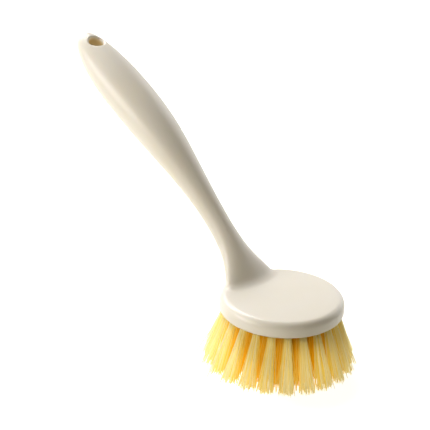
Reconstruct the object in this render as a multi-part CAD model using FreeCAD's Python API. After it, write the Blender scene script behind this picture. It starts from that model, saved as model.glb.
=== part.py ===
# Dish brush: a handle and head moulded in one, with tufts of bristles that flat anchors pin into blind holes.
# It stands on its trimmed bristle tips at z = 0, the head's axis on Z and the handle rising towards -X.

import FreeCAD
import Part
import math
import os
from FreeCAD import Matrix, Vector

# Head: a round block with a slightly crowned top
head_diameter = 72.0
head_thickness = 9.0
head_crown = 0.6
head_top_round = 4.5
head_bottom_round = 1.2

# Bristles: rings of tufts that splay outwards, all trimmed to one flat plane
bristle_drop = 32.0
ring_tufts = (22, 16, 11, 6, 1)
ring_names = ("outer_tuft", "second_tuft", "third_tuft", "inner_tuft", "centre_tuft")
ring_phase = (0.5, 0.0, 0.5, 0.0, 0.0)
outer_ring_margin = 5.0
outer_splay = 17.5
tuft_flare = 5.2
tuft_flutes = 9
flute_depth = 0.34

# Tuft holes, and the flat anchors that pin each folded tuft into its hole
hole_diameter = 4.2
hole_floor = 3.0
hole_clearance = 0.04
fold_depth = 1.1
fold_taper = 0.7
anchor_thickness = 0.45
anchor_height = 1.6
anchor_bite = 0.25

# Handle line: a tight bend out of the head, then one long bow that flattens towards the end
root_inset = 20.0
root_bend_radius = 14.0
neck_slope = 47.5
bow_radius = 427.0
handle_reach = 185.0

# Handle sections in order from the head: distance along the bow, full width, full thickness
root_spread = 4.0
root_taper = 0.6
foot_width = 36.0
foot_thickness = 10.4
flare_at = 13.0
flare_width = 23.4
flare_thickness = 11.8
neck_at = 44.0
neck_width = 14.8
neck_thickness = 12.8
waist_share = 0.281
waist_width = 21.2
waist_thickness = 17.4
palm_share = 0.512
palm_width = 27.8
palm_thickness = 22.8
grip_share = 0.76
grip_width = 29.8
grip_thickness = 24.4
shoulder_back = 20.0
shoulder_width = 25.6
shoulder_thickness = 19.4
end_back = 3.9
end_width = 15.7
end_thickness = 10.6
end_lift = 0.6
span_steps = 3
neck_blend = 9.0

# Hollow grip: the gas core that leaves an even wall
grip_wall = 3.0
core_from = 50.0
core_back = 28.0

# Hanging hole through the end of the handle
hang_hole_diameter = 9.5
hang_hole_back = 11.0
hang_hole_round = 1.0

underside_z = bristle_drop
top_z = underside_z + head_thickness
mid_z = underside_z + head_thickness / 2
head_radius = head_diameter / 2
root_distance = head_radius - root_inset
root_width = foot_width + 2 * root_spread
hole_radius = hole_diameter / 2
hole_depth = head_thickness - hole_floor
outer_ring_radius = head_radius - outer_ring_margin
hang_hole_radius = hang_hole_diameter / 2
shoulder_at = handle_reach - shoulder_back
waist_at = neck_at + waist_share * (shoulder_at - neck_at)
palm_at = neck_at + palm_share * (shoulder_at - neck_at)
grip_at = neck_at + grip_share * (shoulder_at - neck_at)
slope = math.radians(neck_slope)
bend_length = root_bend_radius * slope


def arc_points(centre, radius, start, stop, steps):
    """Points along an arc of the head's profile in the XZ plane, between two angles in degrees."""
    turns = [math.radians(start + (stop - start) * k / steps) for k in range(steps + 1)]
    return [centre + Vector(radius * math.cos(turn), 0, radius * math.sin(turn)) for turn in turns]


def head_block():
    """The round head: a flat underside, and one smooth skin turned over its crown, top rim and wall."""
    foot = head_radius - head_bottom_round
    brow = head_radius - head_top_round
    wall_foot = underside_z + head_bottom_round
    crown_radius = (brow ** 2 + head_crown ** 2) / (2 * head_crown)
    crown_centre = Vector(0, 0, top_z + head_crown - crown_radius)
    crown_edge = 90 - math.degrees(math.asin(brow / crown_radius))
    wall_head = top_z - head_top_round
    wall = [Vector(head_radius, 0, wall_foot), Vector(head_radius, 0, (wall_foot + wall_head) / 2)]
    rim = arc_points(Vector(brow, 0, wall_head), head_top_round, 0, 90, 6)
    crown = arc_points(crown_centre, crown_radius, crown_edge, 90, 6)
    skin = Part.BSplineCurve()
    skin.interpolate(
        Points=wall + rim[:-1] + crown,
        InitialTangent=Vector(0, 0, 1),
        FinalTangent=Vector(-1, 0, 0))
    corner = arc_points(Vector(foot, 0, wall_foot), head_bottom_round, -90, 0, 2)
    edges = [
        Part.makeLine(Vector(0, 0, underside_z), corner[0]),
        Part.Arc(*corner).toShape(),
        skin.toShape(),
        Part.makeLine(Vector(0, 0, top_z + head_crown), Vector(0, 0, underside_z)),
    ]
    return Part.Face(Part.Wire(edges)).revolve(Vector(0, 0, 0), Vector(0, 0, 1), 360)


def handle_line(along):
    """Point and slope of the handle's centre line, counted from the end of the root bend."""
    if along < 0:
        turn = slope + along / root_bend_radius
        reach = root_distance + root_bend_radius * math.sin(turn)
        rise = mid_z + root_bend_radius * (1 - math.cos(turn))
        return Vector(-reach, 0, rise), turn
    turn = slope - along / bow_radius
    reach = root_distance + root_bend_radius * math.sin(slope)
    reach += bow_radius * (math.sin(slope) - math.sin(turn))
    rise = mid_z + root_bend_radius * (1 - math.cos(slope))
    rise += bow_radius * (math.cos(turn) - math.cos(slope))
    return Vector(-reach, 0, rise), turn


def handle_normal(turn):
    """The direction square to the centre line that points out of the handle's upper side."""
    return Vector(math.sin(turn), 0, math.cos(turn))


def handle_profile():
    """Distance along the handle, half width and half thickness, as one curve that closes in a round end."""
    named = [
        (-bend_length, root_width, head_thickness),
        (0.0, foot_width, foot_thickness),
        (flare_at, flare_width, flare_thickness),
        (neck_at, neck_width, neck_thickness),
        (waist_at, waist_width, waist_thickness),
        (palm_at, palm_width, palm_thickness),
        (grip_at, grip_width, grip_thickness),
        (shoulder_at, shoulder_width, shoulder_thickness),
        (handle_reach - end_back, end_width, end_thickness),
        (handle_reach, 0.0, 0.0),
    ]
    curve = Part.BSplineCurve()
    curve.interpolate(
        Points=[Vector(along, width / 2, thickness / 2) for along, width, thickness in named],
        InitialTangent=Vector(1, -root_taper, 0),
        FinalTangent=Vector(0, -end_width, -end_thickness))
    return curve


def handle_stations():
    """The named sections, and steps read off the profile between them, closer towards the round end."""
    profile = handle_profile()
    knots = profile.getKnots()
    stations = []
    for start, stop in zip(knots, knots[1:]):
        for k in range(span_steps):
            share = k / span_steps
            if stop == knots[-1]:
                share = math.sin(math.pi / 2 * share)
            point = profile.value(start + (stop - start) * share)
            stations.append((point.x, point.y, point.z))
    return stations


def section_centre(along, half_thickness):
    """The centre line, lifted past the grip so that the upper side runs straighter than the underside."""
    centre, turn = handle_line(along)
    if along > grip_at:
        centre += handle_normal(turn) * end_lift * (grip_thickness / 2 - half_thickness)
    return centre, turn


def section(along, half_width, half_thickness, inset=0.0):
    """An oval wire square to the centre line."""
    centre, turn = section_centre(along, half_thickness)
    normal = handle_normal(turn) * (half_thickness - inset)
    tangent = Vector(-math.cos(turn), 0, math.sin(turn))
    place = Matrix(0, normal.x, tangent.x, centre.x,
                   half_width - inset, 0, 0, 0,
                   0, normal.z, tangent.z, centre.z,
                   0, 0, 0, 1)
    return Part.Wire(Part.makeCircle(1.0).transformGeometry(place))


def handle_skin():
    """The handle's outer form, from its root inside the head to its round end."""
    return Part.makeLoft([section(*station) for station in handle_stations()], True, False)


def grip_core():
    """The closed hollow inside the grip, an even wall in from the skin."""
    wires = []
    for along, half_width, half_thickness in handle_stations():
        if core_from <= along <= handle_reach - core_back:
            wires.append(section(along, half_width, half_thickness, grip_wall))
    return Part.makeLoft(wires, True, False)


def blended_neck(moulding):
    """Rounds the corner where the handle's foot meets the skin of the head."""
    corner = []
    for edge in moulding.Edges:
        sides = [face.Surface for face in moulding.ancestorsOfType(edge, Part.Face)]
        lofted = any(isinstance(side, Part.BSplineSurface) for side in sides)
        if lofted and any(isinstance(side, Part.SurfaceOfRevolution) for side in sides):
            corner.append(edge)
    return moulding.makeFillet(neck_blend, corner)


def hang_hole():
    """The cylinder that pierces the handle's end, square to its upper side."""
    along = handle_reach - hang_hole_back
    nearest = min(handle_stations(), key=lambda station: abs(station[0] - along))
    centre, turn = section_centre(along, nearest[2])
    axis = handle_normal(turn)
    depth = grip_thickness
    return Part.makeCylinder(hang_hole_radius, 2 * depth, centre - axis * depth, axis)


def rounded_hole_rims(moulding):
    """Rounds both rims of the hanging hole."""
    rims = []
    for face in moulding.Faces:
        wall = face.Surface
        if isinstance(wall, Part.Cylinder) and abs(wall.Radius - hang_hole_radius) < 1e-6:
            rims += [edge for edge in face.Edges if not isinstance(edge.Curve, Part.Line)]
    return moulding.makeFillet(hang_hole_round, rims)


def tuft_places():
    """Name, placement and splay of each tuft: its mouth on the underside, local +Z out along the bristles."""
    places = []
    last = len(ring_tufts) - 1
    for ring, count in enumerate(ring_tufts):
        share = (last - ring) / last
        splay = outer_splay * share
        for k in range(count):
            around = FreeCAD.Rotation(Vector(0, 0, 1), 360.0 * (k + ring_phase[ring]) / count)
            lean = FreeCAD.Rotation(Vector(0, 1, 0), 180.0 - splay)
            mouth = around.multVec(Vector(outer_ring_radius * share, 0, underside_z))
            name = ring_names[ring]
            if count > 1:
                name += f"_{k + 1:02d}"
            places.append((name, FreeCAD.Placement(mouth, around.multiply(lean)), math.radians(splay)))
    return places


def tuft_hole(place, splay):
    """A blind hole, run out past the underside so that a tilted one opens fully."""
    overrun = 2 * hole_radius * math.tan(splay) + hole_clearance
    tool = Part.makeCylinder(hole_radius, hole_depth + overrun, Vector(0, 0, -hole_depth))
    tool.Placement = place
    return tool


def anchor(place):
    """A flat strip across the hole, whose two ends bite into the wall."""
    width = hole_diameter + 2 * anchor_bite
    low = Vector(-anchor_thickness / 2, -width / 2, fold_depth - hole_depth)
    strip = Part.makeBox(anchor_thickness, width, anchor_height, low)
    strip.Placement = place
    return strip


def fluted_ring(radius, height):
    """Points of a fluted outline, square to the tuft's axis."""
    points = []
    for k in range(2 * tuft_flutes):
        reach = radius * (1 - flute_depth / hole_radius * (k % 2))
        angle = math.pi * k / tuft_flutes
        points.append(Vector(reach * math.cos(angle), reach * math.sin(angle), height))
    return points


def tuft(place, splay):
    """A bundle folded round its anchor and flared towards its tips, which end on the trim plane."""
    root = hole_radius - hole_clearance
    flare_from = hole_radius * math.tan(splay)
    free_length = bristle_drop / math.cos(splay) - flare_from
    outlines = [
        fluted_ring(root * fold_taper, -hole_depth),
        fluted_ring(root, fold_depth - hole_depth),
        fluted_ring(root, flare_from),
    ]
    rings = [[place.multVec(point) for point in outline] for outline in outlines]
    apex = place.multVec(Vector(0, 0, flare_from - free_length * root / (tuft_flare / 2)))
    rings.append([point - (point - apex) * (point.z / (point.z - apex.z)) for point in rings[-1]])
    faces = []
    for low, high in zip(rings, rings[1:]):
        for k in range(len(low)):
            after = (k + 1) % len(low)
            corners = [low[k], low[after], high[after], high[k], low[k]]
            faces.append(Part.Face(Part.makePolygon(corners)))
    for ring in (rings[0], rings[-1]):
        faces.append(Part.Face(Part.makePolygon(ring + ring[:1])))
    bundle = Part.Solid(Part.Shell(faces))
    if bundle.Volume < 0:
        bundle.reverse()
    return bundle.cut(anchor(place))


def handle_and_head(places):
    """The moulding: head and handle in one, with hanging hole, hollow grip, tuft holes and anchor bites."""
    moulding = blended_neck(head_block().fuse(handle_skin()))
    moulding = rounded_hole_rims(moulding.cut(hang_hole()))
    moulding = moulding.cut(grip_core())
    holes = [tuft_hole(place, splay) for _, place, splay in places]
    bites = [anchor(place) for _, place, _ in places]
    return moulding.cut(Part.makeCompound(holes)).cut(Part.makeCompound(bites))


def main():
    os.makedirs("parts", exist_ok=True)
    places = tuft_places()
    solids = {"handle_and_head": handle_and_head(places)}
    for name, place, splay in places:
        solids[name] = tuft(place, splay)
    solids["anchor_staples"] = Part.makeCompound([anchor(place) for _, place, _ in places])
    for name, shape in solids.items():
        shape.exportStep(f"parts/{name}.step")
        print(f"{name}: {len(shape.Solids)} solids, valid {shape.isValid()}, {shape.Volume:.0f} mm3")


main()
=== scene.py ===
import bpy
import math
import numpy as np
from mathutils import Matrix, Vector


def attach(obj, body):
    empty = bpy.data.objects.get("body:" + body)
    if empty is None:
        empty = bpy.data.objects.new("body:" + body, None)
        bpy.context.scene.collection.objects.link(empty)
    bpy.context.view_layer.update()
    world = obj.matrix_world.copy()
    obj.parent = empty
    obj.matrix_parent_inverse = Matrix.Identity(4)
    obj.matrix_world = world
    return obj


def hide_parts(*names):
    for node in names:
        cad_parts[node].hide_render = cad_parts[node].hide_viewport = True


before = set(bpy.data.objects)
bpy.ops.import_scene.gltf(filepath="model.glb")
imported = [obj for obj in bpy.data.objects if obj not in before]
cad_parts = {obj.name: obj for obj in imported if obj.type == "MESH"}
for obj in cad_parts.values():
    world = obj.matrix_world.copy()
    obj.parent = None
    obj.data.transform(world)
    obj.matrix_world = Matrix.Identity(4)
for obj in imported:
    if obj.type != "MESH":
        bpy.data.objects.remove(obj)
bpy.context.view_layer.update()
mm = 0.001
print("frame loaded:", len(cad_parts), "nodes")


def deselectAll():
    bpy.ops.object.select_all(action="DESELECT")
    bpy.context.view_layer.objects.active = None


def linear(code):
    # sRGB hex to the linear colour that the shaders work in
    parts = [int(code[k:k + 2], 16) / 255 for k in (1, 3, 5)]
    light = [c / 12.92 if c <= 0.04045 else ((c + 0.055) / 1.055) ** 2.4 for c in parts]
    return tuple(light) + (1.0,)


def addNode(tree, kind, settings=None, **links):
    # settings are properties or socket values, links are sockets fed by another node's output,
    # and a socket that shares its name with another goes by its number
    node = tree.nodes.new(kind)
    for name, value in (settings or {}).items():
        if hasattr(node, name):
            setattr(node, name, value)
        else:
            node.inputs[int(name) if name.isdigit() else name].default_value = value
    for name, source in links.items():
        name = name.replace("_", " ").strip()
        tree.links.new(source, node.inputs[int(name) if name.isdigit() else name])
    return node


def newMaterial(name):
    material = bpy.data.materials.new(name)
    material.use_nodes = True
    material.node_tree.nodes.clear()
    return material, material.node_tree


def paintRamp(node, stops):
    # stops are (place, hex colour) pairs, in order
    ramp = node.color_ramp
    while len(ramp.elements) < len(stops):
        ramp.elements.new(0.5)
    for element, (place, code) in zip(ramp.elements, stops):
        element.position = place
        element.color = linear(code)


def dress(obj, material):
    obj.data.materials.clear()
    obj.data.materials.append(material)


# moulded polypropylene, ivory, out of a polished mould: soft wide gloss over a milky depth,
# with a hint of orange peel, an uneven polish and a hanging hole darkened by painted shade and some
# grime, sizes in mm
ivory = {
    "colour": "#F3EDE3", "mottle": "#F0E9DB", "cloudSize": 25.0,
    "holeShadeAndGrime": "#DAC596", "holeAt": (-165.7, 0.0, 143.9), "holeReach": (6.5, 8.5),
    "roughness": (0.29, 0.33), "wornSize": 18.0, "noiseSpan": (0.1, 0.9),
    "peelSize": 6.0, "peelHeight": 0.012,
    "ior": 1.49, "bleed": 0.12, "bleedDepth": 1.6, "bleedTint": (1.0, 0.75, 0.4),
}


def makeIvory():
    material, tree = newMaterial("moulded polypropylene ivory")
    place = addNode(tree, "ShaderNodeTexCoord").outputs["Object"]
    spanLow, spanHigh = ivory["noiseSpan"]
    # cloudy pigment
    clouds = addNode(tree, "ShaderNodeTexNoise",
                     {"Scale": 1 / (ivory["cloudSize"] * mm), "Detail": 2.0}, Vector=place)
    tint = addNode(tree, "ShaderNodeValToRGB", Fac=clouds.outputs["Fac"])
    paintRamp(tint, [(spanLow, ivory["mottle"]), (spanHigh, ivory["colour"])])
    tint.color_ramp.interpolation = "EASE"
    # painted shade, with some grime, in the hanging hole: only the hole's wall lies this close to
    # its middle
    reach = addNode(tree, "ShaderNodeVectorMath",
                    {"operation": "DISTANCE", "1": Vector(ivory["holeAt"]) * mm}, _0=place)
    reachFull, reachNone = ivory["holeReach"]
    inside = addNode(tree, "ShaderNodeMapRange",
                     {"From Min": reachFull * mm, "From Max": reachNone * mm,
                      "To Min": 1.0, "To Max": 0.0}, Value=reach.outputs["Value"])
    # the hole's wall gets a browner colour: painted shade, with some grime
    tintAndHoleShade = addNode(tree, "ShaderNodeMix", {"data_type": "RGBA", "7": linear(ivory["holeShadeAndGrime"])},
                      _0=inside.outputs["Result"], _6=tint.outputs["Color"])
    # the polish wears unevenly: only the gloss changes, in broad soft patches
    worn = addNode(tree, "ShaderNodeTexNoise",
                   {"Scale": 1 / (ivory["wornSize"] * mm), "Detail": 1.0}, Vector=place)
    gloss = addNode(tree, "ShaderNodeMapRange",
                    {"interpolation_type": "SMOOTHERSTEP", "From Min": spanLow, "From Max": spanHigh,
                     "To Min": ivory["roughness"][0], "To Max": ivory["roughness"][1]},
                    Value=worn.outputs["Fac"])
    # orange peel: very low waves
    peel = addNode(tree, "ShaderNodeTexNoise",
                   {"Scale": 1 / (ivory["peelSize"] * mm), "Detail": 1.0}, Vector=place)
    bump = addNode(tree, "ShaderNodeBump",
                   {"Strength": 1.0, "Distance": ivory["peelHeight"] * mm},
                   Height=peel.outputs["Fac"])
    skin = addNode(tree, "ShaderNodeBsdfPrincipled",
                   {"IOR": ivory["ior"], "Subsurface Weight": ivory["bleed"],
                    "Subsurface Radius": ivory["bleedTint"],
                    "Subsurface Scale": ivory["bleedDepth"] * mm},
                   Base_Color=tintAndHoleShade.outputs[2], Roughness=gloss.outputs["Result"],
                   Normal=bump.outputs["Normal"])
    addNode(tree, "ShaderNodeOutputMaterial", Surface=skin.outputs["BSDF"])
    return material


# dyed nylon filament, drawn smooth: glints along each hair, light carries on through it,
# and on top of that its colour is painted pale on the outside of the brush and deep golden in its
# depth, as painted light and shade
hair = {
    "pale": "#F4EFD0", "body": "#F0DF7C", "bodyAt": 0.4, "deep": "#EAC410",
    "cast": "#FFFDE6", "roughness": 0.35, "ior": 1.53, "glow": 0.50,
}


def makeHair():
    material, tree = newMaterial("dyed nylon filament")
    depth = addNode(tree, "ShaderNodeAttribute", {"attribute_name": "depth"}).outputs["Fac"]
    shade = addNode(tree, "ShaderNodeAttribute", {"attribute_name": "shade"}).outputs["Fac"]
    spot = addNode(tree, "ShaderNodeMath", {"operation": "ADD", "use_clamp": True},
                   _0=depth, _1=shade)
    # painted light and shade: the colour runs from pale at the outside of the brush to deep golden
    # in its depth
    dyeWithPaintedLight = addNode(tree, "ShaderNodeValToRGB", Fac=spot.outputs["Value"])
    paintRamp(dyeWithPaintedLight, [(0.0, hair["pale"]), (hair["bodyAt"], hair["body"]), (1.0, hair["deep"])])
    skin = addNode(tree, "ShaderNodeBsdfPrincipled",
                   {"IOR": hair["ior"], "Roughness": hair["roughness"]},
                   Base_Color=dyeWithPaintedLight.outputs["Color"])
    through = addNode(tree, "ShaderNodeBsdfTranslucent", Color=dyeWithPaintedLight.outputs["Color"])
    both = addNode(tree, "ShaderNodeMixShader", {"0": hair["glow"]},
                   _1=skin.outputs["BSDF"], _2=through.outputs["BSDF"])
    # a clear hair throws only a pale yellow shadow, so lamp light reaches the hairs behind it
    ray = addNode(tree, "ShaderNodeLightPath")
    clear = addNode(tree, "ShaderNodeBsdfTransparent", {"Color": linear(hair["cast"])})
    passing = addNode(tree, "ShaderNodeMixShader", _0=ray.outputs["Is Shadow Ray"],
                      _1=both.outputs["Shader"], _2=clear.outputs["BSDF"])
    addNode(tree, "ShaderNodeOutputMaterial", Surface=passing.outputs["Shader"])
    return material


# tinned steel flat wire, sheared to length: bright, its gloss uneven in fine specks, size in mm
wire = {"colour": "#C9C8C4", "speckSize": 0.25, "roughness": (0.22, 0.42)}


def makeWire():
    material, tree = newMaterial("tinned steel flat wire")
    place = addNode(tree, "ShaderNodeTexCoord").outputs["Object"]
    specks = addNode(tree, "ShaderNodeTexNoise",
                     {"Scale": 1 / (wire["speckSize"] * mm), "Detail": 3.0}, Vector=place)
    gloss = addNode(tree, "ShaderNodeMapRange",
                    {"To Min": wire["roughness"][0], "To Max": wire["roughness"][1]},
                    Value=specks.outputs["Fac"])
    skin = addNode(tree, "ShaderNodeBsdfPrincipled",
                   {"Base Color": linear(wire["colour"]), "Metallic": 1.0},
                   Roughness=gloss.outputs["Result"])
    addNode(tree, "ShaderNodeOutputMaterial", Surface=skin.outputs["BSDF"])
    return material


ivoryPlastic, nylonHair, flatWire = makeIvory(), makeHair(), makeWire()
dress(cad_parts["handle_and_head"], ivoryPlastic)
dress(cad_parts["anchor_staples"], flatWire)
print("moulding and anchors dressed")

# tufts: rings of bundles that leave the head's underside and splay out to one trim height,
# sizes in mm; a ring is its name, its count, its start in steps and its share of the ring radius
tufts = {
    "underside": 32.0, "inHole": 3.0, "ringRadius": 31.0, "splay": 17.5,
    "rings": (("outer_tuft", 22, 0.5, 1.0), ("second_tuft", 16, 0.0, 0.75),
              ("third_tuft", 11, 0.5, 0.5), ("inner_tuft", 6, 0.0, 0.25),
              ("centre_tuft", 1, 0.0, 0.0)),
    "mouthRadius": 1.82, "tipRadius": 5.0, "rimTipRadius": 4.0, "tipAcross": 4.9, "flare": 1.15,
    "hairs": 92, "hairDiameter": 0.42, "hairSides": 5, "hairRings": 6,
    "tipDraw": 0.82, "smoothAngle": 75, "goldenTurn": 2.399963,  # this turn is in radians
    "wander": 0.8, "bow": 0.7, "strays": 7, "strayReach": 2.8,
    "trim": 2.4, "trimBias": 3, "thickSpread": 0.07,
    "depthReach": 12.0, "shadeSpread": 0.12, "clearFrom": 0.7, "seed": 4711,
}


def makeHairBlank():
    # one straight hair of unit height: a disc extruded ring by ring, its tip slightly drawn in
    deselectAll()
    bpy.ops.mesh.primitive_circle_add(vertices=tufts["hairSides"],
                                      radius=tufts["hairDiameter"] / 2 * mm,
                                      fill_type="NGON", location=(0, 0, 0))
    blank = bpy.context.active_object
    steps = tufts["hairRings"] - 1
    bpy.ops.object.mode_set(mode="EDIT")
    bpy.ops.mesh.select_all(action="SELECT")
    for step in range(steps):
        bpy.ops.mesh.extrude_region_move(TRANSFORM_OT_translate={"value": (0, 0, 1 / steps)})
    bpy.ops.transform.resize(value=(tufts["tipDraw"], tufts["tipDraw"], 1.0))
    bpy.ops.mesh.select_all(action="SELECT")
    bpy.ops.mesh.normals_make_consistent(inside=False)
    bpy.ops.object.mode_set(mode="OBJECT")
    bpy.ops.object.shade_smooth_by_angle(angle=math.radians(tufts["smoothAngle"]))
    return blank


def makeTuftBlank():
    # the hair repeated into a whole bundle, still in a straight row, one metre apart
    blank = makeHairBlank()
    row = blank.modifiers.new("row", "ARRAY")
    row.count = tufts["hairs"]
    row.use_relative_offset = False
    row.use_constant_offset = True
    row.constant_offset_displace = (1.0, 0, 0)
    bpy.ops.object.modifier_apply(modifier="row")
    return blank


def layTuft(blank, name, angle, share, rng):
    # bends each hair of the row to its own path from the hole to the trim height
    piece = blank.copy()
    piece.data = blank.data.copy()
    piece.name = piece.data.name = "hairs_" + name
    bpy.context.collection.objects.link(piece)
    count = tufts["hairs"]
    index = np.arange(count)
    points = np.empty(len(piece.data.vertices) * 3)
    piece.data.vertices.foreach_get("co", points)
    points = points.reshape(count, -1, 3)
    points[:, :, 0] -= index[:, None]
    along = points[:, :, 2]

    # roots packed evenly in the hole, tips spread over a wider round
    turn = index * tufts["goldenTurn"] + rng.uniform(0, 2 * math.pi)
    out = np.sqrt((index + 0.5) / count)
    tipRadius = tufts["tipRadius"] + (tufts["rimTipRadius"] - tufts["tipRadius"]) * share
    root = np.stack([out * np.cos(turn), out * np.sin(turn)], 1) * tufts["mouthRadius"]
    tip = root * (tipRadius, tufts["tipAcross"]) / tufts["mouthRadius"]
    tip += rng.normal(0, tufts["wander"], (count, 2))
    bow = rng.normal(0, tufts["bow"], (count, 2))
    stray = rng.choice(count, tufts["strays"], replace=False)
    tip[stray] += rng.normal(0, tufts["strayReach"], (tufts["strays"], 2))
    trim = tufts["trim"] * rng.random(count) ** tufts["trimBias"]
    thick = rng.normal(1.0, tufts["thickSpread"], count)

    # height first, so that every tip ends close to the trim height whatever its lean
    top = tufts["underside"] + tufts["inHole"]
    height = top + (trim[:, None] - top) * along
    fall = 1 - height / tufts["underside"]
    free = np.clip(fall, 0, 1)
    lean = math.tan(math.radians(tufts["splay"] * share))
    axis = tufts["ringRadius"] * share + fall * tufts["underside"] * lean
    sag = free * (1 - free) * 2
    side = [root[:, k:k + 1] + (tip - root)[:, k:k + 1] * free ** tufts["flare"]
            + bow[:, k:k + 1] * sag for k in (0, 1)]
    radial, across = axis + side[0], side[1]
    place = np.empty_like(points)
    place[:, :, 0] = (math.cos(angle) * radial - math.sin(angle) * across) * mm
    place[:, :, 1] = (math.sin(angle) * radial + math.cos(angle) * across) * mm
    place[:, :, 2] = height * mm
    place[:, :, :2] += points[:, :, :2] * thick[:, None, None]
    piece.data.vertices.foreach_set("co", place.ravel())

    # how deep in the brush each point lies, which paints the outside pale and the depth golden as
    # painted light and shade, and each hair's own random tone
    rimLean = math.tan(math.radians(tufts["splay"]))
    rim = tufts["ringRadius"] + tufts["rimTipRadius"] + fall * tufts["underside"] * rimLean
    depth = np.clip((rim - np.hypot(radial, across)) / tufts["depthReach"], 0, 1)
    shade = np.repeat(rng.normal(0, tufts["shadeSpread"], count)[:, None], points.shape[1], 1)
    for label, values in (("depth", depth), ("shade", shade)):
        attribute = piece.data.attributes.new(label, "FLOAT", "POINT")
        attribute.data.foreach_set("value", values.astype(np.float32).ravel())
    piece.data.update()
    dress(piece, nylonHair)
    # lamp light passes the clear outer rings, the core of the brush still throws its shadow
    piece.visible_shadow = share < tufts["clearFrom"]
    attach(piece, "root")
    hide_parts(name)


tuftBlank = makeTuftBlank()
rng = np.random.default_rng(tufts["seed"])
made = 0
for ringName, ringCount, phase, ringShare in tufts["rings"]:
    for k in range(ringCount):
        nodeName = ringName if ringCount == 1 else f"{ringName}_{k + 1:02d}"
        layTuft(tuftBlank, nodeName, 2 * math.pi * (k + phase) / ringCount, ringShare, rng)
        made += 1
bpy.data.objects.remove(tuftBlank)
print("tufts laid:", made)

# view of the photograph, measured about the middle of the head's top, in m and degrees,
# with the focal length in the photograph's pixels and the sensor in mm
photoView = {
    "target": (0.0, 0.0, 0.041), "distance": 0.900, "turn": 44.0, "down": 24.77, "roll": 2.28,
    "shiftRight": 0.03872, "shiftUp": -0.04579,
    "focalPixels": 1566.9, "framePixels": 430, "sensor": 36.0, "clip": (0.01, 50.0),
}


def viewAxes():
    turn, down, roll = (math.radians(photoView[k]) for k in ("turn", "down", "roll"))
    level = Vector((math.cos(turn), math.sin(turn), 0))
    away = Vector((-math.sin(turn), math.cos(turn), 0))
    toward = -away * math.cos(down) + Vector((0, 0, math.sin(down)))
    upright = toward.cross(level)
    right = level * math.cos(roll) + upright * math.sin(roll)
    up = upright * math.cos(roll) - level * math.sin(roll)
    return level, away, toward, right, up


def placeCamera():
    toward, right, up = viewAxes()[2:]
    data = bpy.data.cameras.new("photo view")
    data.sensor_width = photoView["sensor"]
    data.lens = photoView["focalPixels"] / photoView["framePixels"] * photoView["sensor"]
    data.clip_start, data.clip_end = photoView["clip"]
    camera = bpy.data.objects.new("photo view", data)
    bpy.context.collection.objects.link(camera)
    eye = Vector(photoView["target"]) - right * photoView["shiftRight"] - up * photoView["shiftUp"]
    eye += toward * photoView["distance"]
    turn = Matrix((right, up, toward)).transposed().to_4x4()
    camera.matrix_world = Matrix.Translation(eye) @ turn
    bpy.context.scene.camera = camera


placeCamera()
print("camera placed")

# studio: a floor and a sky that are made white for the eye alone, and four soft lamps, in m;
# a lamp is its name, its place right of, behind and above the aim, its size, watts and colour
studio = {
    "floorSize": 12.0, "floorColour": "#E4E3DC", "floorLift": 0.7,
    "sky": "#FFE06A", "skyStrength": 0.055, "backdrop": "#FFFFFF",
    "aim": (-0.05, 0.0, 0.06),
    "lamps": (("key", (-0.91, -0.25, 0.42), 0.6, 5.1, "#FFFFFF"),
              ("back", (-0.62, 1.01, 1.08), 1.2, 25.5, "#FFFFFF"),
              ("rim", (0.88, 0.74, 0.36), 1.3, 6.0, "#FFFFFF"),
              ("front", (-0.75, -0.65, 0.45), 0.5, 1.9, "#FFF3D8")),
}


def seenByEye(tree):
    # 1 for what the camera or a reflection sees, 0 for light that is only gathered
    ray = addNode(tree, "ShaderNodeLightPath")
    seen = addNode(tree, "ShaderNodeMath", {"operation": "MAXIMUM"},
                   _0=ray.outputs["Is Camera Ray"], _1=ray.outputs["Is Glossy Ray"])
    return seen.outputs["Value"]


def makeFloor():
    material, tree = newMaterial("white studio floor")
    lift = addNode(tree, "ShaderNodeMath", {"operation": "MULTIPLY", "1": studio["floorLift"]},
                   _0=seenByEye(tree))
    matte = addNode(tree, "ShaderNodeBsdfDiffuse", {"Color": linear(studio["floorColour"])})
    glow = addNode(tree, "ShaderNodeEmission", Strength=lift.outputs["Value"])
    both = addNode(tree, "ShaderNodeAddShader",
                   _0=matte.outputs["BSDF"], _1=glow.outputs["Emission"])
    addNode(tree, "ShaderNodeOutputMaterial", Surface=both.outputs["Shader"])
    deselectAll()
    bpy.ops.mesh.primitive_plane_add(size=studio["floorSize"], location=(0, 0, 0))
    floor = bpy.context.active_object
    floor.name = "studio_floor"
    dress(floor, material)


def makeSky():
    world = bpy.data.worlds.new("studio sky")
    world.use_nodes = True
    tree = world.node_tree
    tree.nodes.clear()
    weak = addNode(tree, "ShaderNodeBackground",
                   {"Color": linear(studio["sky"]), "Strength": studio["skyStrength"]})
    white = addNode(tree, "ShaderNodeBackground", {"Color": linear(studio["backdrop"])})
    both = addNode(tree, "ShaderNodeMixShader", _0=seenByEye(tree),
                   _1=weak.outputs["Background"], _2=white.outputs["Background"])
    addNode(tree, "ShaderNodeOutputWorld", Surface=both.outputs["Shader"])
    bpy.context.scene.world = world


def hangLamps():
    level, away = viewAxes()[:2]
    aim = Vector(studio["aim"])
    for name, (rightward, awayward, upward), size, watts, colour in studio["lamps"]:
        data = bpy.data.lights.new(name, "AREA")
        data.shape = "DISK"
        data.size = size
        data.energy = watts
        data.color = linear(colour)[:3]
        lamp = bpy.data.objects.new(name, data)
        bpy.context.collection.objects.link(lamp)
        spot = aim + level * rightward + away * awayward + Vector((0, 0, upward))
        facing = (spot - aim).to_track_quat("Z", "Y")
        lamp.matrix_world = Matrix.Translation(spot) @ facing.to_matrix().to_4x4()


makeFloor()
makeSky()
hangLamps()
bpy.context.scene.view_settings.view_transform = "Standard"
print("studio lit")
